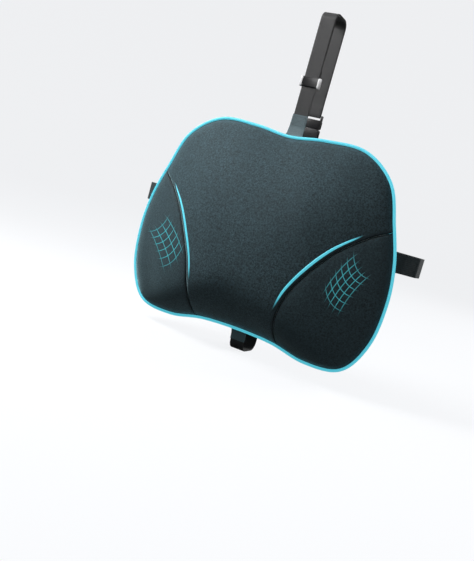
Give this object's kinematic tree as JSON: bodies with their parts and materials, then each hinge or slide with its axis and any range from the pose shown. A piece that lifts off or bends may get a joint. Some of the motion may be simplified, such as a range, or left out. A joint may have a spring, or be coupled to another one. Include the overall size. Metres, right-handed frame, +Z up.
{
  "type": "lumbar support cushion",
  "caption": "Contoured lumbar cushion in a zipped fabric cover with cyan piping, held to a chair back by an adjustable strap over the top and an elastic belt with release buckles.",
  "frame": {"origin": "middle of the cushion's flat back face, where it rests on the chair back", "axes": "+X to the sitter's left, lateral; +Y out of the back face, into the chair back; +Z up"},
  "size_m": [0.4892, 0.1453, 0.557],
  "materials": {
    "foam": "open-cell memory foam, matt",
    "liner": "thin knitted liner, matt",
    "cover": "dark teal-charcoal scuba fabric, fine grain, soft sheen",
    "wing": "dark teal-charcoal scuba fabric with a printed grid",
    "spacer": "black 3-D spacer mesh",
    "piping": "bright cyan corded piping, satin",
    "trim": "bright cyan heat-bonded trim, satin",
    "zip": "black zip tape and nylon coil",
    "zip_metal": "black lacquered zip hardware",
    "tab": "teal-grey ribbed fabric tab",
    "web": "dark grey woven webbing",
    "belt": "dark teal-grey woven elastic",
    "plastic": "black moulded acetal"
  },
  "bodies": {
    "cushion": {"foam_core": "foam", "liner_front": "liner", "liner_back": "liner", "cover_center_panel": "cover", "cover_wing_left": "wing", "cover_wing_right": "wing", "cover_back_mesh": "spacer", "edge_piping": "piping", "wing_trim_left": "trim", "wing_trim_right": "trim", "zip_tape_upper": "zip", "zip_tape_lower": "zip", "zip_coil_upper": "zip", "zip_coil_lower": "zip", "zip_stop_left": "zip_metal", "zip_stop_right": "zip_metal", "strap_tab_upper": "tab", "strap_tab_lower": "tab", "strap_webbing": "web", "strap_lower_webbing": "web", "strap_plug": "plastic", "belt_webbing_left": "belt", "belt_webbing_right": "belt", "belt_plug": "plastic"},
    "zip_slider": {"zip_slider": "zip_metal"},
    "zip_pull": {"zip_pull": "zip_metal"},
    "strap_adjuster": {"strap_adjuster": "plastic", "strap_web_end": "web"},
    "belt_adjuster": {"belt_adjuster": "plastic", "belt_web_end": "belt"},
    "strap_socket": {"strap_socket": "plastic", "strap_socket_loop": "web"},
    "belt_socket": {"belt_socket": "plastic", "belt_socket_loop": "belt"},
    "strap_prong_left": {"strap_prong_left": "plastic"},
    "strap_prong_right": {"strap_prong_right": "plastic"},
    "belt_prong_lower": {"belt_prong_lower": "plastic"},
    "belt_prong_upper": {"belt_prong_upper": "plastic"}
  },
  "joints": [
    {"name": "zip_travel", "type": "slide", "parent": "cushion", "child": "zip_slider", "axis": [1, 0, 0], "range_m": [-0.27, 0]},
    {"name": "zip_pull_swing", "type": "hinge", "parent": "zip_slider", "child": "zip_pull", "pos_m": [0.138, -0.0005, -0.112], "axis": [0, 0, -1], "range_deg": [0, 165]},
    {"name": "strap_adjust", "type": "slide", "parent": "cushion", "child": "strap_adjuster", "axis": [0, 0, 1], "range_m": [-0.02, 0.03]},
    {"name": "belt_adjust", "type": "slide", "parent": "cushion", "child": "belt_adjuster", "axis": [1, 0, 0], "range_m": [-0.03, 0.04]},
    {"name": "strap_release", "type": "slide", "parent": "cushion", "child": "strap_socket", "axis": [0, 0, -1], "range_m": [0, 0.026], "deforming": ["strap_prong_left", "strap_prong_right"]},
    {"name": "belt_release", "type": "slide", "parent": "cushion", "child": "belt_socket", "axis": [1, 0, 0], "range_m": [0, 0.026], "deforming": ["belt_prong_lower", "belt_prong_upper"]},
    {"name": "strap_press_left", "type": "hinge", "parent": "cushion", "child": "strap_prong_left", "pos_m": [-0.0121, 0.04655, 0.1884], "axis": [0, -1, 0], "range_deg": [0, 8.5], "stiffness_Nm_per_rad": 0.2},
    {"name": "strap_press_right", "type": "hinge", "parent": "cushion", "child": "strap_prong_right", "pos_m": [0.0121, 0.04655, 0.1884], "axis": [0, 1, 0], "range_deg": [0, 8.5], "stiffness_Nm_per_rad": 0.2},
    {"name": "belt_press_lower", "type": "hinge", "parent": "cushion", "child": "belt_prong_lower", "pos_m": [0.0576, 0.04155, 0.0054], "axis": [0, -1, 0], "range_deg": [0, 8.5], "stiffness_Nm_per_rad": 0.2},
    {"name": "belt_press_upper", "type": "hinge", "parent": "cushion", "child": "belt_prong_upper", "pos_m": [0.0576, 0.04155, 0.0346], "axis": [0, 1, 0], "range_deg": [0, 8.5], "stiffness_Nm_per_rad": 0.2}
  ]
}
